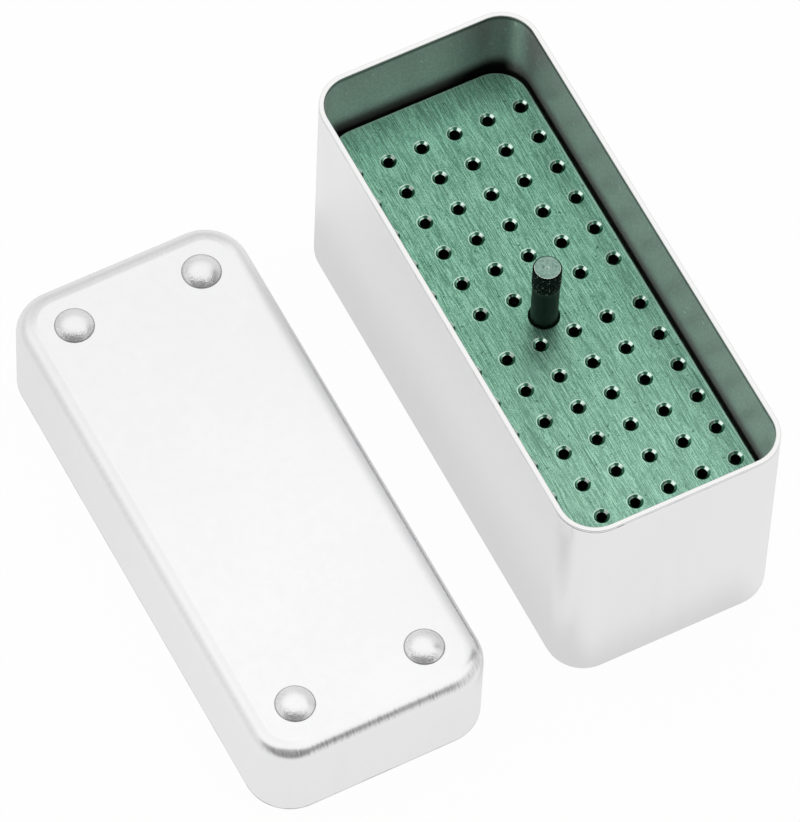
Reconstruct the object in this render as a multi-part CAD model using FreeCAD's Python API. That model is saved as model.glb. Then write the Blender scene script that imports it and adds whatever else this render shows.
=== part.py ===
import FreeCAD, Part
import math
import os

# Box for root canal files: a drawn aluminium base, a drawn slip-over lid lying beside it,
# and a drilled file plate on four legs that is lifted out by a knurled post.
# All sizes are in millimetres. The origin is the centre of the base's underside,
# +X runs along the length, +Y across the width and +Z up.

# Drawn base
base_length = 86.0
base_width = 35.6
base_height = 41.35
base_sheet = 0.8
base_corner_radius = 6.0
base_floor_radius = 2.0

# Drawn lid
lid_slip_gap = 0.15
lid_sheet = 0.8
lid_height = 16.0
lid_edge_radius = 3.0
rim_rounding = 0.2

# Pressed domes on the lid
dome_diameter = 6.0
dome_height = 1.5
dome_root_radius = 0.25
dome_inset = 8.25

# Where the lid lies beside the base
lid_gap_beside_base = 12.0
lid_shift_along = 0.35
lid_turn_degrees = 0.35

# File plate
plate_wall_gap = 0.87
plate_thickness = 3.0
plate_corner_radius = 5.2
plate_edge_chamfer = 0.2
plate_depth_below_rim = 13.5

# File holes, in two groups of rows with the post between them
hole_diameter = 1.6
hole_countersink_diameter = 2.36
hole_countersink_degrees = 110.0
hole_column_pitch = 5.5
hole_row_pitch = 5.92
hole_middle_gap = 8.46
hole_side_margin = 2.3

# Lifting post, a rod screwed through the middle of the plate
rod_diameter = 4.1
rod_depth_below_rim = 0.15
knurl_diameter = 4.36
knurl_length = 4.2
knurl_runout = 0.2
rod_end_face_diameter = 3.9
thread_diameter = 4.0
thread_gap = 0.05
thread_end_chamfer = 0.4
thread_past_nut = 0.8
post_countersink_diameter = 4.85
post_countersink_degrees = 90.0

# Nut under the plate
nut_across_flats = 7.0
nut_height = 3.2
nut_corner_chamfer = 0.35

# Turned legs
leg_diameter = 5.0
leg_end_inset = 3.3
leg_side_inset = 5.1
leg_hole_gap = 0.7
leg_foot_chamfer = 0.6
leg_stud_diameter = 3.0
leg_stud_chamfer = 0.3
leg_hole_cover = 0.7
leg_stud_end_gap = 0.3

# Modelling limits: how far cutters pass a face, how near counts as the same height,
# and how much of a sheet's thickness its rim rounding and inner bends may take
overshoot = 1.0
same_height = 0.0001
rim_share_of_sheet = 0.4
least_bend_in_sheets = 0.5

# Sizes worked out from the ones above
plate_top = base_height - plate_depth_below_rim
plate_bottom = plate_top - plate_thickness
plate_length = base_length - 2 * (base_sheet + plate_wall_gap)
plate_width = base_width - 2 * (base_sheet + plate_wall_gap)
rod_top = base_height - rod_depth_below_rim
lid_length = base_length + 2 * (lid_slip_gap + lid_sheet)
lid_width = base_width + 2 * (lid_slip_gap + lid_sheet)
lid_corner_radius = base_corner_radius + lid_slip_gap + lid_sheet
lid_centre_y = -(base_width / 2 + lid_gap_beside_base + lid_width / 2)
tapped_radius = thread_diameter / 2
thread_radius = tapped_radius - thread_gap
nut_bottom = plate_bottom - nut_height
hole_end_margin = leg_end_inset + leg_diameter / 2 + leg_hole_gap + hole_diameter / 2
row_room = plate_length / 2 - hole_end_margin - hole_middle_gap / 2
rows_each_side = 1 + int(row_room / hole_row_pitch)
column_room = plate_width / 2 - hole_side_margin - hole_column_pitch / 2
columns_each_side = 1 + int(column_room / hole_column_pitch)
leg_hole_depth = plate_thickness - leg_hole_cover
leg_hole_radius = leg_stud_diameter / 2
leg_stud_radius = leg_hole_radius - thread_gap


def vertical_edges(shape):
    """Edges of a block that run straight up."""
    found = []
    for edge in shape.Edges:
        box = edge.BoundBox
        if box.ZLength > box.DiagonalLength - same_height:
            found.append(edge)
    return found


def edges_at_height(shape, height):
    """Edges of a shape that lie flat at one height."""
    found = []
    for edge in shape.Edges:
        box = edge.BoundBox
        if abs(box.ZMin - height) < same_height and abs(box.ZMax - height) < same_height:
            found.append(edge)
    return found


def rounded_block(length, width, corner_radius, bottom, top):
    """Upright block with round corners, centred on the Z axis."""
    corner = FreeCAD.Vector(-length / 2, -width / 2, bottom)
    block = Part.makeBox(length, width, top - bottom, corner)
    return block.makeFillet(corner_radius, vertical_edges(block))


def cup_form(length, width, corner_radius, edge_radius, bottom, top):
    """Rounded block whose lower edge is rounded too."""
    block = rounded_block(length, width, corner_radius, bottom, top)
    return block.makeFillet(edge_radius, edges_at_height(block, bottom))


def drawn_cup(length, width, height, corner_radius, edge_radius, sheet):
    """Deep-drawn sheet cup with its closed end at height zero and a deburred rim at the top."""
    outside = cup_form(length, width, corner_radius, edge_radius, 0, height)
    least_bend = least_bend_in_sheets * sheet
    inner_corner_radius = max(corner_radius - sheet, least_bend)
    inner_edge_radius = max(edge_radius - sheet, least_bend)
    inner_length = length - 2 * sheet
    inner_width = width - 2 * sheet
    inside = cup_form(
        inner_length, inner_width, inner_corner_radius, inner_edge_radius, sheet, height + overshoot
    )
    cup = outside.cut(inside)
    rounding = min(rim_rounding, rim_share_of_sheet * sheet)
    return cup.makeFillet(rounding, edges_at_height(cup, height))


def turned(profile):
    """Solid turned about the Z axis from (radius, height) points, from the lower end up."""
    points = [FreeCAD.Vector(radius, 0, height) for radius, height in profile]
    points.insert(0, FreeCAD.Vector(0, 0, profile[0][1]))
    points.append(FreeCAD.Vector(0, 0, profile[-1][1]))
    points.append(points[0])
    face = Part.Face(Part.makePolygon(points))
    return face.revolve(FreeCAD.Vector(0, 0, 0), FreeCAD.Vector(0, 0, 1), 360)


def spherical_cap(base_radius, height, base_height_z, skirt):
    """Cap of a sphere on a short cylinder that reaches down by the skirt."""
    crown = FreeCAD.Vector(0, 0, base_height_z + height)
    rim = FreeCAD.Vector(base_radius, 0, base_height_z)
    sphere_radius = (base_radius ** 2 + height ** 2) / (2 * height)
    centre_z = base_height_z + height - sphere_radius
    half_angle = math.asin(base_radius / sphere_radius) / 2
    middle_radius = sphere_radius * math.sin(half_angle)
    middle = FreeCAD.Vector(middle_radius, 0, centre_z + sphere_radius * math.cos(half_angle))
    rim_foot = FreeCAD.Vector(base_radius, 0, base_height_z - skirt)
    axis_foot = FreeCAD.Vector(0, 0, base_height_z - skirt)
    edges = [
        Part.Arc(crown, middle, rim).toShape(),
        Part.makeLine(rim, rim_foot),
        Part.makeLine(rim_foot, axis_foot),
        Part.makeLine(axis_foot, crown),
    ]
    face = Part.Face(Part.Wire(edges))
    return face.revolve(FreeCAD.Vector(0, 0, 0), FreeCAD.Vector(0, 0, 1), 360)


def corner_places(x, y):
    """The four places at plus and minus x and y."""
    return [FreeCAD.Vector(sign_x * x, sign_y * y, 0) for sign_x in (-1, 1) for sign_y in (-1, 1)]


def copies_at(shape, places):
    """Copies of a shape moved to each place."""
    return [shape.translated(place) for place in places]


def make_base_box():
    """Deep base with straight walls and a round lower edge."""
    return drawn_cup(
        base_length, base_width, base_height, base_corner_radius, base_floor_radius, base_sheet
    )


def dome_inner_sizes():
    """Base radius and height of the hollow inside a dome, one sheet below its outside."""
    outer_radius = dome_diameter / 2
    sphere_radius = (outer_radius ** 2 + dome_height ** 2) / (2 * dome_height)
    inner_sphere_radius = sphere_radius - lid_sheet
    centre_below_sheet = sphere_radius - dome_height - lid_sheet
    inner_radius = math.sqrt(inner_sphere_radius ** 2 - centre_below_sheet ** 2)
    return inner_radius, dome_height


def make_lid():
    """Shallow drawn lid, open downward, with four hollow domes pressed up near its corners."""
    shell = drawn_cup(lid_length, lid_width, lid_height, lid_corner_radius, lid_edge_radius, lid_sheet)
    shell.rotate(FreeCAD.Vector(0, 0, 0), FreeCAD.Vector(1, 0, 0), 180)
    shell.translate(FreeCAD.Vector(0, 0, lid_height))
    places = corner_places(lid_length / 2 - dome_inset, lid_width / 2 - dome_inset)
    dome = spherical_cap(dome_diameter / 2, dome_height, lid_height, lid_sheet / 2)
    hollow_radius, hollow_height = dome_inner_sizes()
    hollow = spherical_cap(hollow_radius, hollow_height, lid_height - lid_sheet, lid_sheet / 2)
    lid = shell.fuse(copies_at(dome, places)).removeSplitter()
    roots = []
    for edge in edges_at_height(lid, lid_height):
        if edge.Curve.TypeId != "Part::GeomCircle":
            continue
        if abs(edge.Curve.Radius - dome_diameter / 2) < same_height:
            roots.append(edge)
    lid = lid.makeFillet(dome_root_radius, roots)
    lid = lid.cut(copies_at(hollow, places))
    lid.rotate(FreeCAD.Vector(0, 0, 0), FreeCAD.Vector(0, 0, 1), lid_turn_degrees)
    lid.translate(FreeCAD.Vector(lid_shift_along, lid_centre_y, 0))
    return lid


def hole_places():
    """Centres of the file holes, as many rows and columns as the plate has room for."""
    places = []
    for row in range(rows_each_side):
        x = hole_middle_gap / 2 + row * hole_row_pitch
        for column in range(columns_each_side):
            y = hole_column_pitch / 2 + column * hole_column_pitch
            places.extend(corner_places(x, y))
    return places


def countersink_drop(mouth_radius, radius, degrees):
    """Depth below the mouth at which a countersink has narrowed to a radius."""
    return (mouth_radius - radius) / math.tan(math.radians(degrees) / 2)


def drill(bore_radius, mouth_radius, degrees, bottom):
    """Drill that cuts a bore down to the bottom and a countersink at the plate's top."""
    return turned([
        (bore_radius, bottom),
        (bore_radius, plate_top - countersink_drop(mouth_radius, bore_radius, degrees)),
        (mouth_radius, plate_top),
        (mouth_radius, plate_top + overshoot),
    ])


def leg_places():
    """Leg centres, between the last rows of holes and the plate's ends."""
    return corner_places(plate_length / 2 - leg_end_inset, plate_width / 2 - leg_side_inset)


def make_file_plate():
    """Flat plate with countersunk file holes, a tapped middle hole and blind tapped leg holes."""
    plate = rounded_block(plate_length, plate_width, plate_corner_radius, plate_bottom, plate_top)
    outline = edges_at_height(plate, plate_top) + edges_at_height(plate, plate_bottom)
    plate = plate.makeChamfer(plate_edge_chamfer, outline)
    under = plate_bottom - overshoot
    file_mouth = hole_countersink_diameter / 2
    file_drill = drill(hole_diameter / 2, file_mouth, hole_countersink_degrees, under)
    post_mouth = post_countersink_diameter / 2
    post_drill = drill(tapped_radius, post_mouth, post_countersink_degrees, under)
    leg_drill = Part.makeCylinder(
        leg_hole_radius, leg_hole_depth + overshoot, FreeCAD.Vector(0, 0, under)
    )
    cutters = copies_at(file_drill, hole_places())
    cutters.append(post_drill)
    cutters.extend(copies_at(leg_drill, leg_places()))
    return plate.cut(cutters)


def make_lifting_post():
    """Rod with a knurled grip and a threaded lower end, seated in the plate's countersink."""
    rod_radius = rod_diameter / 2
    post_mouth = post_countersink_diameter / 2
    seat_height = plate_top - countersink_drop(post_mouth, rod_radius, post_countersink_degrees)
    seat_drop = countersink_drop(rod_radius, thread_radius, post_countersink_degrees)
    thread_end = nut_bottom - thread_past_nut
    end_chamfer = (knurl_diameter - rod_end_face_diameter) / 2
    grip_bottom = rod_top - knurl_length
    return turned([
        (thread_radius - thread_end_chamfer, thread_end),
        (thread_radius, thread_end + thread_end_chamfer),
        (thread_radius, seat_height - seat_drop),
        (rod_radius, seat_height),
        (rod_radius, grip_bottom - knurl_runout),
        (knurl_diameter / 2, grip_bottom),
        (knurl_diameter / 2, rod_top - end_chamfer),
        (rod_end_face_diameter / 2, rod_top),
    ])


def make_post_nut():
    """Hexagon nut against the plate's underside, corners along X, chamfered on both faces."""
    corner_radius = nut_across_flats / math.sqrt(3)
    corner_count = 6
    corners = []
    for step in range(corner_count + 1):
        angle = 2 * math.pi * step / corner_count
        x = corner_radius * math.cos(angle)
        y = corner_radius * math.sin(angle)
        corners.append(FreeCAD.Vector(x, y, nut_bottom))
    prism = Part.Face(Part.makePolygon(corners)).extrude(FreeCAD.Vector(0, 0, nut_height))
    chamfer_radius = nut_across_flats / 2
    disc = turned([
        (chamfer_radius, nut_bottom),
        (corner_radius, nut_bottom + nut_corner_chamfer),
        (corner_radius, plate_bottom - nut_corner_chamfer),
        (chamfer_radius, plate_bottom),
    ])
    bore = Part.makeCylinder(
        tapped_radius, nut_height + 2 * overshoot, FreeCAD.Vector(0, 0, nut_bottom - overshoot)
    )
    return prism.common(disc).cut(bore)


def make_leg():
    """Turned leg on the Z axis, from the base's floor to the plate, with a stud at its top."""
    foot = base_sheet
    stud_top = plate_bottom + leg_hole_depth - leg_stud_end_gap
    return turned([
        (leg_diameter / 2 - leg_foot_chamfer, foot),
        (leg_diameter / 2, foot + leg_foot_chamfer),
        (leg_diameter / 2, plate_bottom),
        (leg_stud_radius, plate_bottom),
        (leg_stud_radius, stud_top - leg_stud_chamfer),
        (leg_stud_radius - leg_stud_chamfer, stud_top),
    ])


pieces = {
    "base_box": make_base_box(),
    "lid": make_lid(),
    "file_plate": make_file_plate(),
    "lifting_post": make_lifting_post(),
    "post_nut": make_post_nut(),
}
leg_names = ("leg_far_left", "leg_far_right", "leg_near_left", "leg_near_right")
for leg_name, leg in zip(leg_names, copies_at(make_leg(), leg_places())):
    pieces[leg_name] = leg

os.makedirs("parts", exist_ok=True)
for piece_name, piece in pieces.items():
    piece.exportStep("parts/" + piece_name + ".step")
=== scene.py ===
import logging
import math
from dataclasses import dataclass, field
from enum import Enum
from typing import Any, Optional, Union

import bmesh
import bpy
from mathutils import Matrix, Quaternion, Vector


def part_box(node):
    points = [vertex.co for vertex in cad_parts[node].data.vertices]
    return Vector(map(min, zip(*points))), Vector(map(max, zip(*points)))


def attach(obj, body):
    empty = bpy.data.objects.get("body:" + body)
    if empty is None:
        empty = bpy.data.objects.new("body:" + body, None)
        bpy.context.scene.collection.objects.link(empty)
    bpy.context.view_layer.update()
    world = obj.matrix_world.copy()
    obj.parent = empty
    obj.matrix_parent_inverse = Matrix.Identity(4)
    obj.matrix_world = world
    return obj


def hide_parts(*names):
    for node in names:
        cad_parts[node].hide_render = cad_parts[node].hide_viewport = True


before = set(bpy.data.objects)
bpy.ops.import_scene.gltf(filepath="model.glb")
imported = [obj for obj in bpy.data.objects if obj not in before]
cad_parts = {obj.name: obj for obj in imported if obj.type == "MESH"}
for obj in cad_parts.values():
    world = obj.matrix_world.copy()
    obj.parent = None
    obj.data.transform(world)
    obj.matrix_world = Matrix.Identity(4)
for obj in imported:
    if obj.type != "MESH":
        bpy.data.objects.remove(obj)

# Looks of a box for root canal files: a drawn satin aluminium base and lid, a green anodised
# file plate, and the dark knurled post that lifts the plate out. Lengths are in metres.

LOG = logging.getLogger("endodontic_box")
MM = 0.001
WHITE = (1.0, 1.0, 1.0)
PHOTO_WIDTH_PX = 800
PHOTO_HEIGHT_PX = 822
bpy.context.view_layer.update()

Band = tuple[float, float, float, float]
Colour = tuple[float, float, float]
Number = Union[float, "Value"]
Span = tuple[float, float]


def rgba(colour: Colour) -> tuple[float, float, float, float]:
    """Opaque colour with its alpha."""
    return (*colour, 1.0)


def shaded(colour: Colour, share: float) -> Colour:
    """Colour with each channel multiplied by a share."""
    red, green, blue = colour
    return (red * share, green * share, blue * share)


class Body(Enum):
    """Rigid bodies of the box."""

    BASE = "base"
    INSERT = "insert"
    LID = "lid"


class Slot(Enum):
    """Finishes named in the record."""

    SATIN = "satin_aluminium"
    GREEN = "green_anodised"
    DARK = "dark_anodised"
    STEEL = "nut_steel"
    TURNED = "turned_aluminium"


@dataclass(frozen=True)
class Pattern:
    """Fineness of a noise, in features per metre, alike everywhere or along X, Y and Z."""

    scale: Union[float, tuple[float, float, float]]
    detail: float = 2.0
    rough: float = 0.5


class Value:
    """A number socket of a material, with arithmetic that adds Math nodes."""

    def __init__(self, shader: "Shader", socket: bpy.types.NodeSocket) -> None:
        """Wraps one output socket.

        Args:
            shader: The material that the socket belongs to.
            socket: The output that carries the number.
        """
        self.shader = shader
        self.socket = socket

    def _math(self, operation: str, *others: Number, clamp: bool = False) -> "Value":
        """Adds a Math node fed by this value and the others, held to 0 to 1 if clamp is set."""
        settings = {"operation": operation, "use_clamp": clamp}
        inputs = dict(enumerate((self, *others)))
        return self.shader.value("ShaderNodeMath", settings, inputs)

    def __add__(self, other: Number) -> "Value":
        """Sum."""
        return self._math("ADD", other)

    def __radd__(self, other: Number) -> "Value":
        """Sum with the number on the left."""
        return self._math("ADD", other)

    def __sub__(self, other: Number) -> "Value":
        """Difference."""
        return self._math("SUBTRACT", other)

    def __rsub__(self, other: Number) -> "Value":
        """Number on the left minus this value."""
        return self.shader.value("ShaderNodeMath", {"operation": "SUBTRACT"}, {0: other, 1: self})

    def __mul__(self, other: Number) -> "Value":
        """Product."""
        return self._math("MULTIPLY", other)

    def __rmul__(self, other: Number) -> "Value":
        """Product with the number on the left."""
        return self._math("MULTIPLY", other)

    def __truediv__(self, other: Number) -> "Value":
        """Quotient."""
        return self._math("DIVIDE", other)

    def sine(self) -> "Value":
        """Sine of this value in radians."""
        return self._math("SINE")

    def distance(self, other: "Value") -> "Value":
        """Length of the right-angled pair of this value and another."""
        return (self * self + other * other)._math("SQRT")

    def magnitude(self) -> "Value":
        """Absolute value."""
        return self._math("ABSOLUTE")

    def at_least(self, other: Number) -> "Value":
        """Larger of this value and another."""
        return self._math("MAXIMUM", other)

    def at_most(self, other: Number) -> "Value":
        """Smaller of this value and another."""
        return self._math("MINIMUM", other)

    def off_nearest(self, start: float, pitch: float) -> "Value":
        """Distance along an axis to the nearest of evenly spaced places.

        Args:
            start: One of the places.
            pitch: Spacing of the places.

        Returns:
            The signed distance.
        """
        return self._math("WRAP", start + pitch / 2, start - pitch / 2) - start

    def rounded_meet(self, other: "Value", radius: float) -> "Value":
        """Distance outside two faces that meet in a rounded edge.

        Args:
            other: Distance outside the second face.
            radius: Radius of the edge between them.

        Returns:
            The joint signed distance, negative inside.
        """
        first = self + radius
        second = other + radius
        beyond = first.at_least(0.0).distance(second.at_least(0.0))
        return beyond + first.at_least(second).at_most(0.0) - radius

    def clamped(self) -> "Value":
        """This value held between 0 and 1."""
        return self._math("ADD", 0.0, clamp=True)

    def ramp(self, low: float, high: float, from_value: float = 0.0, to_value: float = 1.0) -> "Value":
        """Smooth step of this value.

        Args:
            low: Input at which the result is from_value.
            high: Input at which the result is to_value.
            from_value: Result at and below low.
            to_value: Result at and above high.

        Returns:
            The stepped value.
        """
        settings = {"interpolation_type": "SMOOTHSTEP", "clamp": True}
        inputs = {
            "Value": self,
            "From Min": low,
            "From Max": high,
            "To Min": from_value,
            "To Max": to_value,
        }
        return self.shader.value("ShaderNodeMapRange", settings, inputs)

    def fall(self, low: float, high: float) -> "Value":
        """Smooth step down, 1 at and below low and 0 at and above high."""
        return self.ramp(low, high, 1.0, 0.0)

    def within(self, band: Band) -> "Value":
        """Soft band of this value.

        Args:
            band: Inputs at which the band begins, is full, starts to fade and is gone.

        Returns:
            1 in the band's full part and 0 away from it.
        """
        begin, full, fade, gone = band
        return self.ramp(begin, full) * self.fall(fade, gone)

    def sign(self) -> "Value":
        """-1 or 1 by this value's side of zero, with no jump at zero."""
        return self / self.magnitude().at_least(0.01 * MM)


class Shader:
    """Builds one node material or world."""

    def __init__(self, owner: Union[bpy.types.Material, bpy.types.World]) -> None:
        """Clears the owner's node tree.

        Args:
            owner: Material or world whose nodes are built.
        """
        self.owner = owner
        owner.use_nodes = True
        self.tree = owner.node_tree
        self.tree.nodes.clear()

    def node(self, kind: str, settings: dict[str, Any], inputs: dict[Any, Any]) -> bpy.types.Node:
        """Adds a node.

        Args:
            kind: Node type.
            settings: Attributes that are set before its sockets.
            inputs: Socket names or indices with values, links or wrapped values.

        Returns:
            The new node.
        """
        made = self.tree.nodes.new(kind)
        for name, setting in settings.items():
            setattr(made, name, setting)
        for key, given in inputs.items():
            socket = made.inputs[key]
            source = given.socket if isinstance(given, Value) else given
            if isinstance(source, bpy.types.NodeSocket):
                self.tree.links.new(source, socket)
            else:
                socket.default_value = source
        return made

    def value(
        self, kind: str, settings: dict[str, Any], inputs: dict[Any, Any], output: Any = 0
    ) -> Value:
        """Adds a node and wraps one of its outputs."""
        return Value(self, self.node(kind, settings, inputs).outputs[output])

    def object_place(self) -> bpy.types.NodeSocket:
        """Object coordinates."""
        return self.node("ShaderNodeTexCoord", {}, {}).outputs["Object"]

    def parts(self, place: bpy.types.NodeSocket) -> tuple[Value, Value, Value]:
        """X, Y and Z of a vector."""
        made = self.node("ShaderNodeSeparateXYZ", {}, {0: place})
        return tuple(Value(self, made.outputs[axis]) for axis in range(3))

    def along(self, place: bpy.types.NodeSocket, axis: tuple[float, float, float]) -> Value:
        """Share of a vector along an axis."""
        settings = {"operation": "DOT_PRODUCT"}
        return self.value("ShaderNodeVectorMath", settings, {0: place, 1: axis}, "Value")

    def noise(self, place: bpy.types.NodeSocket, pattern: Pattern) -> Value:
        """Smooth noise around 0.5.

        Args:
            place: Coordinates that it is read at.
            pattern: Fineness along the axes, layers and strength of the finer layers.

        Returns:
            The noise value.
        """
        scale = pattern.scale
        if isinstance(scale, tuple):
            inputs = {"Vector": place, "Scale": scale}
            place = self.node("ShaderNodeMapping", {"vector_type": "POINT"}, inputs).outputs[0]
            scale = 1.0
        inputs = {
            "Vector": place,
            "Scale": scale,
            "Detail": pattern.detail,
            "Roughness": pattern.rough,
        }
        return self.value("ShaderNodeTexNoise", {"noise_dimensions": "3D"}, inputs, "Fac")

    def mix(self, factor: Number, first: Any, second: Any) -> bpy.types.NodeSocket:
        """Colour between two colours.

        Args:
            factor: 0 for the first colour and 1 for the second.
            first: Colour or colour socket.
            second: Colour or colour socket.

        Returns:
            The mixed colour's socket.
        """
        sockets = {6: first, 7: second}
        inputs = {key: rgba(c) if isinstance(c, tuple) else c for key, c in sockets.items()}
        inputs[0] = factor
        return self.node("ShaderNodeMix", {"data_type": "RGBA"}, inputs).outputs[2]

    def bump(
        self, height: Value, depth: float, strength: float = 1.0, under: Optional[Any] = None
    ) -> bpy.types.NodeSocket:
        """Surface normal disturbed by a height.

        Args:
            height: Height between 0 and 1.
            depth: Size of that height in metres.
            strength: Share of the effect.
            under: Normal that is disturbed, if it isn't the surface's own.

        Returns:
            The normal's socket.
        """
        inputs = {"Height": height, "Distance": depth, "Strength": strength}
        if under is not None:
            inputs["Normal"] = under
        return self.node("ShaderNodeBump", {}, inputs).outputs[0]

    def surface(
        self,
        colour: bpy.types.NodeSocket,
        roughness: Value,
        normal: bpy.types.NodeSocket,
        metallic: Number = 1.0,
    ) -> None:
        """Ends the tree in a metal surface.

        Args:
            colour: Colour of the metal.
            roughness: Blur of what it reflects.
            normal: Surface normal.
            metallic: Share of metal over plain paint.
        """
        inputs = {
            "Base Color": colour,
            "Metallic": metallic,
            "Roughness": roughness,
            "Normal": normal,
        }
        made = self.node("ShaderNodeBsdfPrincipled", {"distribution": "MULTI_GGX"}, inputs)
        self.node("ShaderNodeOutputMaterial", {}, {"Surface": made.outputs[0]})


@dataclass(frozen=True)
class Finish:
    """A surface finish that can be made into a material."""

    name: str

    def paint(self, shader: Shader) -> None:
        """Adds the finish's nodes."""
        raise NotImplementedError

    def material(self) -> bpy.types.Material:
        """Makes the material."""
        made = bpy.data.materials.new(self.name)
        self.paint(Shader(made))
        return made


@dataclass(frozen=True)
class ShellSpot:
    """Where a point lies on a drawn shell, and the patterns that its looks share.

    Attributes:
        place: Coordinates from the shell's own middle.
        x: Place along the shell.
        y: Place across the shell.
        z: Height.
        walls: Distance outside the walls.
        past_end: Distance outside the closed end.
        edge: Share of the edge between the walls and the closed end.
        near_end: Share of the wall at the near end.
        clouds: Broad soft noise.
        streaks: Noise drawn out in height.
        grain: Fine drawing grain, across each edge.
        mottle: Fine even noise.
        peel: Finest even noise.
    """

    place: bpy.types.NodeSocket
    x: Value
    y: Value
    z: Value
    walls: Value
    past_end: Value
    edge: Value
    near_end: Value
    clouds: Value
    streaks: Value
    grain: Value
    mottle: Value
    peel: Value


@dataclass(frozen=True)
class SatinAluminium(Finish):
    """Drawn aluminium, satin and clear outside, dull inside, with a bright deburred rim and painted
    shade.
    """

    centre: Span = (0.0, 0.0)
    half_length: float = 0.043
    half_width: float = 0.0178
    closed_end: float = 0.0
    rim: float = 0.04135
    turn: float = 0.0
    corner_radius: float = 6.0 * MM
    edge_radius: float = 2.0 * MM
    sheet: float = 0.8 * MM
    dome_inset: float = 8.25 * MM
    # Height and reach of the inside's painted shade line where the plate stands.
    shade_line_height: float = 27.6 * MM
    shade_line_reach: float = 3.9 * MM
    nick_side: float = -10.6 * MM
    grain_turn: Span = (5.0 * MM, 3.0 * MM)
    rim_face: Span = (0.08 * MM, 0.22 * MM)
    rim_shadow_band: Band = (0.2 * MM, 0.3 * MM, 0.4 * MM, 0.6 * MM)
    lip_shading_band: Band = (0.15 * MM, 0.2 * MM, 0.75 * MM, 1.05 * MM)
    dome_root: Band = (0.01 * MM, 0.05 * MM, 0.12 * MM, 0.24 * MM)
    dome_flank: Band = (0.1 * MM, 0.3 * MM, 0.7 * MM, 1.3 * MM)
    far_band: Band = (-3.4 * MM, -2.8 * MM, -2.3 * MM, -1.5 * MM)
    left_band: Band = (-2.9 * MM, -2.4 * MM, -2.3 * MM, -1.5 * MM)
    band_turn: Span = (3.4 * MM, 7.4 * MM)
    # Share of painted shade at the far end of the outside.
    far_painted_shade: float = 0.0
    # Strength of the painted shadow line and dent mark at the near left corner.
    corner_shadow_and_dent: float = 0.0
    edge_shade: float = 0.0
    colour: Colour = (0.965, 0.965, 0.97)
    rim_colour: Colour = (0.92, 0.92, 0.915)
    # The inside's colour is darker partly as painted shade for the inside of the box.
    inner_colour: Colour = (0.562, 0.556, 0.548)
    line_and_shade_colour: Colour = (0.10, 0.10, 0.105)
    root_shade_colour: Colour = (0.14, 0.14, 0.15)
    scratch_colour: Colour = (0.45, 0.45, 0.45)
    rim_shadow_colour: Colour = (0.30, 0.30, 0.31)
    fleck_colour: Colour = (0.92, 0.95, 0.93)
    lip_shading_colour: Colour = (0.03, 0.035, 0.03)
    inside_shade_colour: Colour = (0.008, 0.012, 0.009)
    clouds: Pattern = Pattern(45.0, 3.0)
    streaks: Pattern = Pattern((700.0, 700.0, 30.0))
    scratches: Pattern = Pattern((1700.0, 1700.0, 260.0), 1.0)
    end_grain: Pattern = Pattern((500.0, 7000.0, 500.0), 1.0, 0.6)
    side_grain: Pattern = Pattern((7000.0, 500.0, 500.0), 1.0, 0.6)
    mottle: Pattern = Pattern(2400.0)
    peel: Pattern = Pattern(4200.0, 1.0)
    rim_shadow_noise: Pattern = Pattern(420.0)
    flecks: Pattern = Pattern(1100.0, 0.0)
    roughness: float = 0.25

    def place(self, shader: Shader) -> bpy.types.NodeSocket:
        """Coordinates along and across the shell, from its own middle."""
        cosine, sine = math.cos(self.turn), math.sin(self.turn)
        x, y = self.centre
        inputs = {
            "Vector": shader.object_place(),
            "Location": (-x * cosine - y * sine, x * sine - y * cosine, 0.0),
            "Rotation": (0.0, 0.0, -self.turn),
        }
        return shader.node("ShaderNodeMapping", {"vector_type": "POINT"}, inputs).outputs[0]

    def spot(self, shader: Shader) -> ShellSpot:
        """Measures the shell's walls, closed end and edges, and makes its patterns.

        Args:
            shader: The material being built.

        Returns:
            The measures and patterns.
        """
        place = self.place(shader)
        x, y, z = shader.parts(place)
        walls = (x.magnitude() - self.half_length).rounded_meet(
            y.magnitude() - self.half_width, self.corner_radius
        )
        upward = 1.0 if self.closed_end > self.rim else -1.0
        past_end = (z - self.closed_end) * upward
        turns, turned = (self.half_length - inset for inset in self.grain_turn)
        ends = shader.noise(place, self.end_grain)
        sides = shader.noise(place, self.side_grain)
        return ShellSpot(
            place=place,
            x=x,
            y=y,
            z=z,
            walls=walls,
            past_end=past_end,
            edge=walls.at_most(past_end).ramp(-0.56 * self.edge_radius, -0.36 * self.edge_radius),
            near_end=x.ramp(turns, turned),
            clouds=shader.noise(place, self.clouds),
            streaks=shader.noise(place, self.streaks),
            grain=sides + (ends - sides) * x.magnitude().ramp(turns, turned),
            mottle=shader.noise(place, self.mottle),
            peel=shader.noise(place, self.peel),
        )

    def dome_foot_shade(self, spot: ShellSpot) -> Value:
        """Strength of painted shade on a dome's foot, laid as dark points, most on the near side and
        some on the left.
        """
        from_x = spot.x.magnitude() - (self.half_length - self.dome_inset)
        from_y = spot.y.magnitude() - (self.half_width - self.dome_inset)
        nearward = from_x * spot.x.sign()
        rightward = from_y * spot.y.sign()
        away = nearward.distance(rightward).at_least(0.01 * MM)
        foot = (nearward * 0.89 - rightward * 0.455) / away
        left = (nearward * -0.455 - rightward * 0.89) / away
        return foot.ramp(0.5, 0.95, 0.02, 0.34) + left.ramp(0.3, 0.9, 0.0, 0.16)

    def turned_edge(self, spot: ShellSpot) -> Value:
        """Soft shade where the closed end bends over, strong far off and weak on the left."""
        far = (spot.x + self.half_length).fall(*self.band_turn)
        left = (spot.y + self.half_width).fall(*self.band_turn) * 0.33
        far = far * spot.walls.within(self.far_band)
        left = left * spot.walls.within(self.left_band)
        return far.at_least(left) * self.edge_shade

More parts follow.
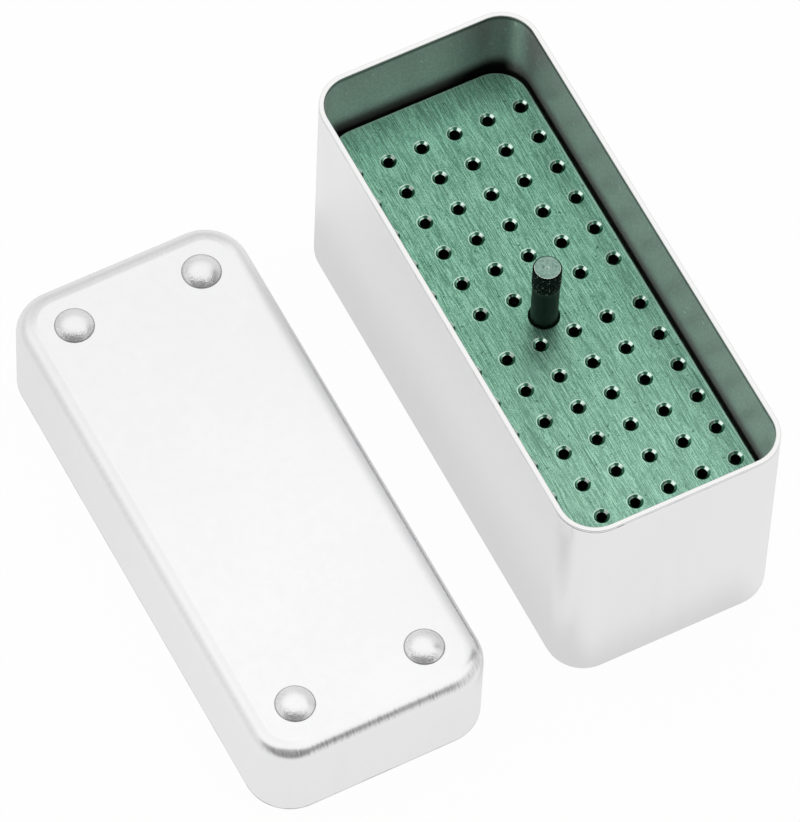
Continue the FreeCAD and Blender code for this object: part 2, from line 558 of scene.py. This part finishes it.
    def outside(self, shader: Shader, spot: ShellSpot) -> bpy.types.NodeSocket:
        """Colour of the clear outside, with painted shade at the far end, on the turned edge, round
        the domes and under the rim.

        Args:
            shader: The material being built.
            spot: Where the point lies on the shell.

        Returns:
            The colour's socket.
        """
        tone = (spot.clouds * 0.6 + spot.streaks * 0.4).ramp(0.35, 0.65)
        colour = shader.mix(tone, shaded(self.colour, 0.975), self.colour)
        # Painted shade: darker towards the far end.
        painted_end_shading = spot.x.ramp(-self.half_length, 0.45 * self.half_length, self.far_painted_shade, 0.0)
        drawn = spot.grain.fall(0.37, 0.49) * spot.edge * (0.05 + spot.near_end * 0.23)
        flank = spot.past_end.within(self.dome_flank)
        # Painted shade on the domes' feet as dark points, with faint points everywhere.
        peel_dots_and_shade = spot.peel.ramp(0.40, 0.60) * (flank * self.dome_foot_shade(spot) + 0.01)
        shade = self.turned_edge(spot) * (0.6 + spot.mottle * 0.8)
        colour = shader.mix(painted_end_shading + drawn + peel_dots_and_shade + shade, colour, self.line_and_shade_colour)
        # Painted shade in the crease round each dome's root.
        root = spot.past_end.within(self.dome_root) * (0.45 + spot.mottle * 0.4)
        colour = shader.mix(root, colour, self.root_shade_colour)
        marks = shader.noise(spot.place, self.scratches).ramp(0.79, 0.84)
        colour = shader.mix(marks * 0.25, colour, self.scratch_colour)
        # Painted shadow line just below the rim's outer edge.
        rim_shadow = (spot.z - self.rim).magnitude().within(self.rim_shadow_band)
        return shader.mix((rim_shadow * self.rim_shadow_strength(shader, spot)).clamped(), colour, self.rim_shadow_colour)

    def rim_shadow_strength(self, shader: Shader, spot: ShellSpot) -> Value:
        """Strength of the painted shadow line below the rim, patchy, stronger at the near left corner,
        with a dark dent mark there.
        """
        patchiness = shader.noise(spot.place, self.rim_shadow_noise).ramp(0.45, 0.65)
        corner = spot.x.ramp(self.half_length - 8.0 * MM, self.half_length - 5.0 * MM)
        corner = corner * spot.y.fall(self.nick_side, self.nick_side + 1.0 * MM)
        dent = (spot.y - self.nick_side).magnitude().fall(0.3 * MM, 0.75 * MM) * corner
        return 0.3 + patchiness * 0.35 + (corner * 0.3 + dent * 0.9) * self.corner_shadow_and_dent

    def stain_and_painted_shade(self, spot: ShellSpot) -> Value:
        """Share of light kept under the inside's painted shade: darker at the end walls, more towards
        the right and in a line where the plate stands, and darkest all round just below the plate's
        top.
        """
        inset = spot.x.magnitude() - self.half_length
        at_end = inset.ramp(-4.0 * self.sheet, -2.0 * self.sheet)
        right = spot.y.ramp(0.17 * self.half_width, 0.64 * self.half_width, 0.0, 0.3)
        low = self.shade_line_height
        reach = self.shade_line_reach
        line = spot.z.within((low - reach, low - 0.3 * reach, low, low + reach))
        behind = spot.z.fall(low - 1.0 * MM, low + 0.1 * MM) * line * 0.92
        return (1.0 - at_end * (0.25 + right + line * 0.5)) * (1.0 - behind)

    def inside(self, shader: Shader, spot: ShellSpot) -> bpy.types.NodeSocket:
        """Colour of the dull inside, darker partly as painted shade, with a painted dark line below
        the rim and painted shade near the plate.

        Args:
            shader: The material being built.
            spot: Where the point lies on the shell.

        Returns:
            The colour's socket.
        """
        spotted = shaded(self.inner_colour, 1.22)
        colour = shader.mix(spot.mottle.ramp(0.35, 0.7), self.inner_colour, spotted)
        flecks = shader.noise(spot.place, self.flecks).ramp(0.80, 0.84)
        colour = shader.mix(flecks * 0.7, colour, self.fleck_colour)
        # Painted dark reflection line just inside and below the rim.
        lip_shading = (spot.z - self.rim).magnitude().within(self.lip_shading_band)
        colour = shader.mix(lip_shading * 0.62, colour, self.lip_shading_colour)
        # Painted shade near the end walls and where the plate stands.
        return shader.mix(self.stain_and_painted_shade(spot), self.inside_shade_colour, colour)

    def paint(self, shader: Shader) -> None:
        """Adds drawing grain, soft clouds, scratches, the bright rim, the dull inside and painted
        shade.
        """
        spot = self.spot(shader)
        depth = spot.walls.rounded_meet(spot.past_end, self.edge_radius)
        inner = depth.fall(-0.55 * self.sheet, -0.45 * self.sheet)
        rim = (spot.z - self.rim).magnitude().fall(*self.rim_face)
        colour = shader.mix(inner, self.outside(shader, spot), self.inside(shader, spot))
        colour = shader.mix(rim, colour, self.rim_colour)

        dullness = inner * (1.0 - rim)
        dome = spot.past_end.ramp(*self.dome_flank[:2])
        right = spot.y.ramp(0.5 * self.half_width, 0.75 * self.half_width)
        blurred = spot.edge * spot.near_end * right
        rough = self.roughness + dullness * 0.2 + dome * 0.03 + blurred * 0.14
        rough = rough + (spot.clouds - 0.5) * 0.06 + (spot.streaks - 0.5) * 0.05
        flank = spot.past_end.within(self.dome_flank)
        relief = spot.grain + (spot.peel * 4.0 - spot.grain) * flank
        drawn = shader.bump(spot.streaks, 0.01 * MM, 0.2)
        normal = shader.bump(relief, 0.02 * MM, 0.6, drawn)
        shader.surface(colour, rough, normal, 1.0 - dullness * 0.35)


@dataclass(frozen=True)
class BrushedGreen(Finish):
    """Plate aluminium brushed along its length and anodised green, with drilled holes."""

    top: float = 0.02785
    half_length: float = 0.04133
    half_width: float = 0.01613
    corner_radius: float = 5.2 * MM
    column_pitch: float = 5.5 * MM
    row_pitch: float = 5.92 * MM
    rows_each_side: int = 6
    middle_gap: float = 8.46 * MM
    mouth_radius: float = 1.18 * MM
    bore_radius: float = 0.8 * MM
    bore_depth: Span = (0.2 * MM, 0.4 * MM)
    edge_highlight_band: Band = (-0.55 * MM, -0.35 * MM, -0.23 * MM, -0.17 * MM)
    lip_shading_band: Band = (0.02 * MM, 0.05 * MM, 0.08 * MM, 0.18 * MM)
    colour: Colour = (0.32, 0.618, 0.463)
    deep: Colour = (0.085, 0.24, 0.16)
    # Pale greens for the painted light.
    pale: Colour = (0.505, 1.0, 0.76)
    pale_deep: Colour = (0.185, 0.50, 0.35)
    near_light_colour: Colour = (0.80, 0.85, 0.80)
    scored_colour: Colour = (0.06, 0.17, 0.12)
    glint_colour: Colour = (0.54, 0.90, 0.73)
    lip_shading_colour: Colour = (0.80, 1.0, 0.90)
    pit_colour: Colour = (0.02, 0.06, 0.045)
    edge_highlight_colour: Colour = (0.62, 0.94, 0.78)
    bore_shade_colour: Colour = (0.003, 0.006, 0.004)
    mouth_shade_colour: Colour = (0.055, 0.19, 0.115)
    mouth_half_light_colour: Colour = (0.36, 0.74, 0.53)
    mouth_highlight_colour: Colour = (0.80, 0.98, 0.89)
    fine: Pattern = Pattern((420.0, 9600.0, 9600.0), 1.0, 0.6)
    long: Pattern = Pattern((150.0, 8600.0, 8600.0), 0.0)
    grain: Pattern = Pattern((5200.0, 6200.0, 6200.0), 1.0)
    dye: Pattern = Pattern(70.0)
    pits: Pattern = Pattern(1500.0, 1.0)

    def from_hole(self, x: Value, y: Value) -> tuple[Value, Value, Value]:
        """Distance from the nearest file hole's axis, and its shares along X and Y."""
        row = x.magnitude().off_nearest(self.middle_gap / 2, self.row_pitch)
        column = y.off_nearest(self.column_pitch / 2, self.column_pitch)
        nearward = row * x.sign()
        last = self.middle_gap / 2 + (self.rows_each_side - 0.5) * self.row_pitch
        past_rows = x.magnitude().ramp(last, last + 0.1 * MM)
        distance = row.distance(column)
        safe = distance.at_least(0.01 * MM)
        return distance + past_rows * self.row_pitch, nearward / safe, column / safe

    def mouth_light_and_shade(
        self, shader: Shader, shade_ring: Value, nearward: Value, sideward: Value
    ) -> bpy.types.NodeSocket:
        """Colour of a hole's bevelled mouth, with painted highlights on two arcs, painted half light
        on a third and painted shade elsewhere.

        Args:
            shader: The material being built.
            shade_ring: Share of a ring of painted shade round the mouth.
            nearward: Share of the direction from the hole's axis along X.
            sideward: Share of the direction from the hole's axis along Y.

        Returns:
            The colour's socket.
        """

        def lit_arc(azimuth: float, full: float, gone: float) -> Value:
            """Painted light on the arc that faces one way, full within one angle and gone past
            another.
            """
            turn = math.radians(azimuth)
            facing = nearward * math.cos(turn) + sideward * math.sin(turn)
            return facing.ramp(math.cos(math.radians(gone)), math.cos(math.radians(full)))

        soft = shader.mix(lit_arc(216.0, 36.0, 56.0), self.mouth_shade_colour, self.mouth_half_light_colour)
        soft = shader.mix(lit_arc(188.0, 8.0, 24.0) * 0.75, soft, self.mouth_highlight_colour)
        soft = shader.mix(shade_ring * 0.75, soft, self.mouth_shade_colour)
        return shader.mix(lit_arc(111.0, 13.0, 26.0), soft, self.mouth_highlight_colour)

    def painted_light_share(self, x: Value, y: Value) -> Value:
        """Share of the paler green, painted as light: at the far end and on the right, where the walls
        shade the plate, and towards the near end.
        """
        far = x.fall(-0.94 * self.half_length, -0.70 * self.half_length)
        near = x.ramp(-0.1 * self.half_length, self.half_length, 0.0, 0.28)
        near = near * y.ramp(-self.half_width, 0.0, 0.2, 1.0)
        right = y.ramp(0.35 * self.half_width, 0.8 * self.half_width, 0.0, 0.27)
        brink = y.ramp(self.half_width - 2.5 * MM, self.half_width, 0.0, 0.6)
        return far + near + right + brink

    def paint(self, shader: Shader) -> None:
        """Adds brush lines, grain, small pits, a painted highlight at the edge, painted light and the
        painted shade of the bores.
        """
        place = shader.object_place()
        x, y, z = shader.parts(place)
        fine = shader.noise(place, self.fine)
        long = shader.noise(place, self.long)
        lines = fine * 0.45 + long * 0.25 + shader.noise(place, self.grain) * 0.3
        below = self.top - z
        flat = below.ramp(0.15 * MM, 0.3 * MM, 1.0, 0.25)
        dye = shader.noise(place, self.dye)
        tone = (lines.ramp(0.44, 0.56) * 0.9 + dye * 0.2 - 0.05).clamped()
        tone = (tone - 0.5) * flat + 0.5
        scored = long.ramp(0.645, 0.685) * flat
        glints = long.fall(0.30, 0.34) * flat
        pits = shader.noise(place, self.pits).ramp(0.72, 0.77)
        # Painted light: whiter towards the near end.
        painted_end_shading = x.ramp(-0.35 * self.half_length, self.half_length, 0.0, 0.09)
        edge = (x.magnitude() - self.half_length).rounded_meet(
            y.magnitude() - self.half_width, self.corner_radius
        )
        # Painted highlight in a thin line just inside the plate's edge.
        edge_highlight = edge.within(self.edge_highlight_band)

        hole, nearward, sideward = self.from_hole(x, y)
        bore_shade = hole.fall(self.bore_radius, self.bore_radius + 0.05 * MM)
        mouth = hole.fall(self.mouth_radius, self.mouth_radius + 0.06 * MM)
        outer = (self.mouth_radius - 0.12 * MM, self.mouth_radius)
        # Painted shade in a ring over the mouth's outer part.
        shade_ring = hole.within((self.bore_radius + 0.08 * MM, self.bore_radius + 0.15 * MM, *outer))
        # Painted highlight arc just outside each mouth, on its far left side.
        lip_shading = (hole - self.mouth_radius).within(self.lip_shading_band)
        lip_shading = lip_shading * (nearward * -0.8 - sideward * 0.6).ramp(-0.5, 0.5)

        # Painted light: paler green at the far end, on the right and towards the near end.
        painted_light = self.painted_light_share(x, y)
        dark = shader.mix(painted_light, self.deep, self.pale_deep)
        light = shader.mix(painted_light, self.colour, self.pale)
        colour = shader.mix(tone, dark, light)
        colour = shader.mix(painted_end_shading, colour, self.near_light_colour)
        colour = shader.mix(scored * 0.7, colour, self.scored_colour)
        colour = shader.mix(glints * 0.28, colour, self.glint_colour)
        colour = shader.mix(lip_shading * 0.7, colour, self.lip_shading_colour)
        colour = shader.mix(pits * 0.7, colour, self.pit_colour)
        colour = shader.mix(edge_highlight * 0.6, colour, self.edge_highlight_colour)
        # Painted highlights and shade in the hole mouths.
        colour = shader.mix(mouth, colour, self.mouth_light_and_shade(shader, shade_ring, nearward, sideward))
        # Painted shade inside the bores.
        colour = shader.mix(bore_shade * below.ramp(*self.bore_depth) * 0.95, colour, self.bore_shade_colour)
        rough = 0.36 + (fine - 0.5) * 0.12 - mouth * 0.16
        shader.surface(colour, rough, shader.bump(lines, 0.008 * MM, 0.6 * (1.0 - mouth)))


@dataclass(frozen=True)
class DarkAnodised(Finish):
    """Turned rod with a dark finish, a knurl with painted shade and glints, and a bare faced end."""

    end_height: float = 0.0412
    end_radius: float = 1.95 * MM
    crest_radius: float = 2.12 * MM
    grip_length: float = 4.2 * MM
    ring_waves: float = 24000.0
    colour: Colour = (0.030, 0.046, 0.042)
    mottled_colour: Colour = (0.028, 0.045, 0.038)
    groove_shade_colour: Colour = (0.002, 0.007, 0.005)
    crest_glint_colour: Colour = (0.68, 0.82, 0.75)
    faced_dark: Colour = (0.155, 0.275, 0.225)
    faced_light: Colour = (0.27, 0.42, 0.35)
    ring_colour: Colour = (0.40, 0.55, 0.475)
    mark_colour: Colour = (0.62, 0.72, 0.67)
    speck_colour: Colour = (0.08, 0.14, 0.115)
    lit_rim: Colour = (0.80, 0.86, 0.82)
    dark_rim: Colour = (0.01, 0.02, 0.015)
    mottle: Pattern = Pattern(2600.0)
    specks: Pattern = Pattern(2100.0, 1.0)
    turning: Pattern = Pattern((50.0, 50.0, 9000.0))

    def side(
        self, shader: Shader, radius: Value, above_end: Value, mottle: Value
    ) -> bpy.types.NodeSocket:
        """Colour of the rod's side, with painted shade over the knurl, deepest in its grooves, and
        painted glints on its crests.

        Args:
            shader: The material being built.
            radius: Distance from the rod's axis.
            above_end: Height above the rod's faced end.
            mottle: Noise that spots the finish.

        Returns:
            The colour's socket.
        """
        crest = radius.ramp(self.crest_radius, self.crest_radius + 0.03 * MM)
        groove = radius.fall(self.crest_radius - 0.12 * MM, self.crest_radius)
        on_grip = (above_end + self.grip_length).ramp(-0.2 * MM, 0.1 * MM)
        colour = shader.mix(mottle.ramp(0.3, 0.7), self.colour, self.mottled_colour)
        # Painted shade over the knurl, deepest in its grooves.
        colour = shader.mix((0.55 + groove * 0.42) * on_grip, colour, self.groove_shade_colour)
        # Painted glints on some of the knurl's crests.
        return shader.mix(crest * mottle.ramp(0.60, 0.66) * 0.9, colour, self.crest_glint_colour)

    def faced(
        self, shader: Shader, place: bpy.types.NodeSocket, rings: Value, mottle: Value
    ) -> bpy.types.NodeSocket:
        """Colour of the faced end, with turned rings, a centre mark and a bevelled rim.

        Args:
            shader: The material being built.
            place: Coordinates on the rod.
            rings: Waves round the rod's axis.
            mottle: Noise that spots the finish.

        Returns:
            The colour's socket.
        """
        x, y, _ = shader.parts(place)
        radius = x.distance(y)
        mark = radius.fall(0.25 * MM, 0.45 * MM) * mottle.ramp(0.3, 0.6)
        specks = shader.noise(place, self.specks).ramp(0.62, 0.70)
        rim = radius.ramp(self.end_radius - 0.09 * MM, self.end_radius - 0.04 * MM)
        lit_side = (x * 0.87 - y * 0.49).ramp(-0.5 * self.end_radius, 0.0)
        colour = shader.mix(mottle.ramp(0.35, 0.65), self.faced_dark, self.faced_light)
        colour = shader.mix(rings * 0.35, colour, self.ring_colour)
        colour = shader.mix(mark * 0.5, colour, self.mark_colour)
        colour = shader.mix(specks * 0.7, colour, self.speck_colour)
        colour = shader.mix(rim * lit_side * 0.6, colour, self.lit_rim)
        return shader.mix(rim * (1.0 - lit_side) * 0.9, colour, self.dark_rim)

    def paint(self, shader: Shader) -> None:
        """Adds turning marks, painted shade and glints on the grip, and the faced end."""
        place = shader.object_place()
        x, y, z = shader.parts(place)
        radius = x.distance(y)
        above_end = z - self.end_height
        end = above_end.ramp(-0.03 * MM, -0.01 * MM)
        rings = (radius * self.ring_waves).sine() * 0.5 + 0.5
        mottle = shader.noise(place, self.mottle)
        side = self.side(shader, radius, above_end, mottle)
        faced = self.faced(shader, place, rings, mottle)
        height = shader.noise(place, self.turning) * (1.0 - end) + rings * end
        rough = 0.48 + (mottle - 0.5) * 0.15 - end * 0.12
        shader.surface(shader.mix(end, side, faced), rough, shader.bump(height, 0.006 * MM, 0.5))


@dataclass(frozen=True)
class TurnedMetal(Finish):
    """Plain metal with turning marks round the Z axis."""

    colour: Colour = (0.80, 0.81, 0.82)
    roughness: float = 0.28
    marks: Pattern = Pattern((40.0, 40.0, 8000.0))
    stain_and_painted_shade: Pattern = Pattern(300.0, 3.0)

    def paint(self, shader: Shader) -> None:
        """Adds the turning marks and a little staining."""
        place = shader.object_place()
        marks = shader.noise(place, self.marks)
        stain_and_painted_shade = shader.noise(place, self.stain_and_painted_shade)
        colour = shader.mix(stain_and_painted_shade.ramp(0.35, 0.65), shaded(self.colour, 0.9), self.colour)
        rough = self.roughness + (stain_and_painted_shade - 0.5) * 0.08
        shader.surface(colour, rough, shader.bump(marks, 0.008 * MM, 0.5))


def dress(node: str, material: bpy.types.Material) -> None:
    """Gives a CAD node its material.

    Args:
        node: Name of the CAD node.
        material: Material for all of it.
    """
    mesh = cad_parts[node].data
    mesh.materials.clear()
    mesh.materials.append(material)
    LOG.info("%s: %s", node, material.name)


@dataclass
class Shells:
    """The drawn base and the drawn lid."""

    lid_turn: float = math.radians(0.35)
    lid_overlap: float = 0.95 * MM
    base_corner: float = 6.0 * MM
    lid_edge: float = 3.0 * MM
    lid_height: float = 16.0 * MM
    # Share of painted shade towards the lid's far end.
    lid_far_painted_shade: float = 0.06
    lid_edge_shade: float = 0.19

    def build(self) -> None:
        """Dresses both shells, each with its own rim, inside and edges."""
        low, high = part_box("base_box")
        base = SatinAluminium(
            "satin_base", half_length=high.x, half_width=high.y, rim=high.z, corner_shadow_and_dent=1.0
        )
        dress("base_box", base.material())
        low_lid, high_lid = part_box("lid")
        middle = (low_lid + high_lid) / 2
        lid = SatinAluminium(
            "satin_lid",
            centre=(middle.x, middle.y),
            half_length=high.x + self.lid_overlap,
            half_width=high.y + self.lid_overlap,
            closed_end=self.lid_height,
            rim=low_lid.z,
            turn=self.lid_turn,
            corner_radius=self.base_corner + self.lid_overlap,
            edge_radius=self.lid_edge,
            far_painted_shade=self.lid_far_painted_shade,
            edge_shade=self.lid_edge_shade,
        )
        dress("lid", lid.material())


@dataclass
class LiftingPost:
    """The knurled post, with a cut knurl on its grip and a cut thread at its foot."""

    rod_radius: float = 2.05 * MM
    grip_radius: float = 2.18 * MM
    grip_length: float = 4.2 * MM
    grip_runout: float = 0.2 * MM
    end_radius: float = 1.95 * MM
    thread_radius: float = 1.95 * MM
    thread_pitch: float = 0.7 * MM
    thread_depth: float = 0.4 * MM
    thread_relief: float = 0.3 * MM
    thread_runout: float = 0.35 * MM
    thread_flat: float = 0.1
    foot_chamfer: float = 0.4 * MM
    knurl_teeth: int = 30
    knurl_depth: float = 0.22 * MM
    knurl_steepness: float = 1.6
    deepest_cut: float = 0.5
    spin_steps: int = 240
    row_height: float = 0.06 * MM
    rod_row_height: float = 1.0 * MM
    plate_seat: float = 0.4 * MM
    slack: float = 1e-6
    weld: float = 1e-7
    top: float = field(init=False)
    foot: float = field(init=False)
    seat: float = field(init=False)

    def __post_init__(self) -> None:
        """Reads the post's ends and its seat from the frame."""
        low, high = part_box("lifting_post")
        self.top = high.z
        self.foot = low.z
        self.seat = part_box("file_plate")[1].z - self.plate_seat

    def profile(self) -> list[tuple[float, float]]:
        """Radius and height of the post's outline from its foot up.

        Returns:
            Points with rows close enough for the thread and the knurl.
        """
        grip_foot = self.top - self.grip_length
        chamfer = self.grip_radius - self.end_radius
        corners = [
            (self.thread_radius - self.foot_chamfer, self.foot),
            (self.thread_radius, self.foot + self.foot_chamfer),
            (self.thread_radius, self.seat - (self.rod_radius - self.thread_radius)),
            (self.rod_radius, self.seat),
            (self.rod_radius, grip_foot - self.grip_runout),
            (self.grip_radius, grip_foot),
            (self.grip_radius, self.top - chamfer),
            (self.end_radius, self.top),
        ]
        points = [corners[0]]
        for (r0, z0), (r1, z1) in zip(corners, corners[1:]):
            smooth_rod = r0 == r1 == self.rod_radius
            spacing = self.rod_row_height if smooth_rod else self.row_height
            rows = max(1, round((z1 - z0) / spacing))
            for row in range(1, rows + 1):
                share = row / rows
                points.append((r0 + (r1 - r0) * share, z0 + (z1 - z0) * share))
        return points

    def knurl_cut(self, angle: float, z: float) -> float:
        """Depth of the diamond knurl.

        Args:
            angle: Angle round the post.
            z: Height on the post.

        Returns:
            Depth below the crests, zero away from the grip.
        """
        grip_foot = self.top - self.grip_length
        if z < grip_foot - self.row_height or z > self.top - self.slack:
            return 0.0
        fade_in = min(1.0, max(0.0, (z - grip_foot) / self.grip_runout))
        twist = z / self.grip_radius
        right = abs(math.sin((angle + twist) * self.knurl_teeth / 2))
        left = abs(math.sin((angle - twist) * self.knurl_teeth / 2))
        flank = min(1.0, self.knurl_steepness * min(right, left))
        return self.knurl_depth * fade_in * (1.0 - flank)

    def thread_cut(self, angle: float, z: float) -> float:
        """Depth of the thread's groove.

        Args:
            angle: Angle round the post.
            z: Height on the post.

        Returns:
            Depth below the thread's crest, zero above the thread.
        """
        thread_end = self.seat - self.thread_relief
        if z > thread_end:
            return 0.0
        turn = (z / self.thread_pitch - angle / (2 * math.pi)) % 1.0
        valley = 1.0 - abs(2.0 * turn - 1.0)
        fade = min(1.0, (thread_end - z) / self.thread_runout)
        flank = (valley - self.thread_flat) / (1.0 - 2.0 * self.thread_flat)
        return self.thread_depth * fade * max(0.0, min(1.0, flank))

    def build(self) -> bpy.types.Object:
        """Spins the outline, cuts knurl and thread into it and closes both ends.

        Returns:
            The post's object, riding on the insert.
        """
        shape = bmesh.new()
        points = [shape.verts.new((r, 0.0, z)) for r, z in self.profile()]
        edges = [shape.edges.new(pair) for pair in zip(points, points[1:])]
        bmesh.ops.spin(
            shape,
            geom=points + edges,
            cent=(0.0, 0.0, 0.0),
            axis=(0.0, 0.0, 1.0),
            angle=2 * math.pi,
            steps=self.spin_steps,
            use_merge=True,
        )
        bmesh.ops.remove_doubles(shape, verts=shape.verts, dist=self.weld)
        for vert in shape.verts:
            radius = math.hypot(vert.co.x, vert.co.y)
            angle = math.atan2(vert.co.y, vert.co.x)
            cut = self.knurl_cut(angle, vert.co.z) + self.thread_cut(angle, vert.co.z)
            shrink = 1.0 - min(cut / radius, self.deepest_cut)
            vert.co.x *= shrink
            vert.co.y *= shrink
        rims = [edge for edge in shape.edges if edge.is_boundary]
        bmesh.ops.holes_fill(shape, edges=rims, sides=0)
        bmesh.ops.recalc_face_normals(shape, faces=shape.faces)
        mesh = bpy.data.meshes.new("lifting_post_knurled")
        shape.to_mesh(mesh)
        shape.free()
        post = bpy.data.objects.new("lifting_post_knurled", mesh)
        bpy.context.scene.collection.objects.link(post)
        finish = DarkAnodised(
            "dark_anodised",
            end_height=self.top,
            end_radius=self.end_radius,
            grip_length=self.grip_length,
        )
        mesh.materials.append(finish.material())
        for face in mesh.polygons:
            face.use_smooth = len(face.vertices) == 4
        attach(post, Body.INSERT.value)
        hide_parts("lifting_post")
        LOG.info("%s: %d faces", post.name, len(mesh.polygons))
        return post


@dataclass
class Insert:
    """The file plate with its post, nut and legs."""

    legs: tuple[str, ...] = ("leg_far_left", "leg_far_right", "leg_near_left", "leg_near_right")
    steel_colour: Colour = (0.58, 0.58, 0.60)
    steel_roughness: float = 0.34

    def build(self) -> None:
        """Dresses the plate, nut and legs and builds the post."""
        dress("file_plate", BrushedGreen("brushed_green").material())
        turned = TurnedMetal("turned_aluminium").material()
        for leg in self.legs:
            dress(leg, turned)
        steel = TurnedMetal("nut_steel", self.steel_colour, self.steel_roughness)
        dress("post_nut", steel.material())
        LiftingPost().build()


@dataclass
class Studio:
    """Pale floor, soft light and the viewing camera."""

    camera_place: Vector = field(default_factory=lambda: Vector((593.57, -360.58, 1157.04)) * MM)
    camera_aim: Vector = field(default_factory=lambda: Vector((-9.33, -18.10, 0.0)) * MM)
    camera_roll: float = math.radians(2.886)
    focal_px: float = 9053.1
    sensor: float = 36.0
    clipping: Span = (0.1, 20.0)
    floor_size: float = 6.0
    floor_colour: Colour = (0.9, 0.9, 0.9)
    floor_seen: float = 0.965
    floor_mirrored: float = 0.9
    floor_glow: float = 0.865
    shade_depth: float = 0.15
    shade_reach: float = 7.5 * MM
    shade_lidward: Span = (-9.375 * MM, -3.75 * MM)
    viewer_reach: float = 0.8
    viewer_least_reach: float = 0.1
    viewer_waist: float = 0.55
    viewer_taper: float = 1.5
    viewer_middle: float = 0.47
    viewer_height: float = 0.37
    viewer_rim: Span = (0.8, 1.2)
    viewer_side: Span = (-0.1, 0.15)
    viewer_darkness: float = 0.645
    horizon_grey: float = 0.77
    horizon_span: Span = (0.25, 0.75)

    def camera(self) -> None:
        """Adds the camera, at the photo's viewpoint."""
        data = bpy.data.cameras.new("view")
        data.sensor_width = self.sensor
        data.lens = self.focal_px * self.sensor / max(PHOTO_WIDTH_PX, PHOTO_HEIGHT_PX)
        data.clip_start, data.clip_end = self.clipping
        view = bpy.data.objects.new("view", data)
        view.rotation_mode = "QUATERNION"
        view.location = self.camera_place
        level = (self.camera_aim - self.camera_place).to_track_quat("-Z", "Y")
        view.rotation_quaternion = level @ Quaternion((0.0, 0.0, 1.0), self.camera_roll)
        bpy.context.scene.collection.objects.link(view)
        bpy.context.scene.camera = view

    def floor(self) -> None:
        """Adds a pale floor that shows white and keeps a soft shadow."""
        shape = bmesh.new()
        bmesh.ops.create_grid(shape, x_segments=1, y_segments=1, size=self.floor_size / 2)
        mesh = bpy.data.meshes.new("floor")
        shape.to_mesh(mesh)
        shape.free()
        ground = bpy.data.objects.new("floor", mesh)
        bpy.context.scene.collection.objects.link(ground)
        material = bpy.data.materials.new("floor")
        shader = Shader(material)
        seen = shader.node("ShaderNodeLightPath", {}, {}).outputs
        camera = Value(shader, seen["Is Camera Ray"])
        glossy = Value(shader, seen["Is Glossy Ray"])
        clear = Value(shader, seen["Is Transmission Ray"])
        direct = (camera + clear) * self.floor_seen + glossy * self.floor_mirrored
        matt = shader.node("ShaderNodeBsdfDiffuse", {}, {"Color": rgba(self.floor_colour)})
        low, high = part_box("base_box")
        x, y, _ = shader.parts(shader.object_place())
        beside = (y - low.y).ramp(*self.shade_lidward)
        along = x.magnitude().fall(high.x, high.x + self.shade_reach)
        shade = beside * along * (y - high.y).fall(-self.shade_reach, 0.0)
        dimmed = self.floor_glow - shade * self.shade_depth
        bright = dimmed * (1.0 - camera) + camera
        glow = shader.node("ShaderNodeEmission", {}, {"Color": rgba(WHITE), "Strength": bright})
        inputs = {0: direct.clamped(), 1: matt.outputs[0], 2: glow.outputs[0]}
        both = shader.node("ShaderNodeMixShader", {}, inputs)
        shader.node("ShaderNodeOutputMaterial", {}, {"Surface": both.outputs[0]})
        mesh.materials.append(material)

    def sky(self) -> None:
        """Adds the soft white surround, grey low down and dark behind the viewer."""
        world = bpy.data.worlds.new("surround")
        bpy.context.scene.world = world
        shader = Shader(world)
        direction = shader.node("ShaderNodeTexCoord", {}, {}).outputs["Generated"]
        _, _, height = shader.parts(direction)
        toward = (self.camera_place - self.camera_aim).to_2d().normalized()
        ahead = shader.along(direction, (toward.x, toward.y, 0.0))
        aside = shader.along(direction, (toward.y, -toward.x, 0.0))
        reach = self.viewer_reach - (height - self.viewer_waist).at_least(0.0) * self.viewer_taper
        across = aside / reach.at_least(self.viewer_least_reach)
        upward = (height - self.viewer_middle) / self.viewer_height
        spread = across * across + upward * upward
        viewer = spread.fall(*self.viewer_rim) * ahead.ramp(*self.viewer_side)
        low_grey = height.ramp(*self.horizon_span, self.horizon_grey, 1.0)
        grey = low_grey * (1.0 - viewer * self.viewer_darkness)
        seen = shader.node("ShaderNodeLightPath", {}, {}).outputs
        camera = Value(shader, seen["Is Camera Ray"])
        strength = grey * (1.0 - camera) + camera
        inputs = {"Color": rgba(WHITE), "Strength": strength}
        lit = shader.node("ShaderNodeBackground", {}, inputs)
        shader.node("ShaderNodeOutputWorld", {}, {"Surface": lit.outputs[0]})

    def build(self) -> None:
        """Sets up the view, floor and surround."""
        bpy.context.scene.view_settings.view_transform = "Standard"
        self.camera()
        self.floor()
        self.sky()


def main() -> None:
    """Builds the box's looks and the studio."""
    logging.basicConfig(level=logging.INFO, format="%(name)s: %(message)s")
    Studio().build()
    Shells().build()
    Insert().build()


if __name__ == "__main__":
    main()
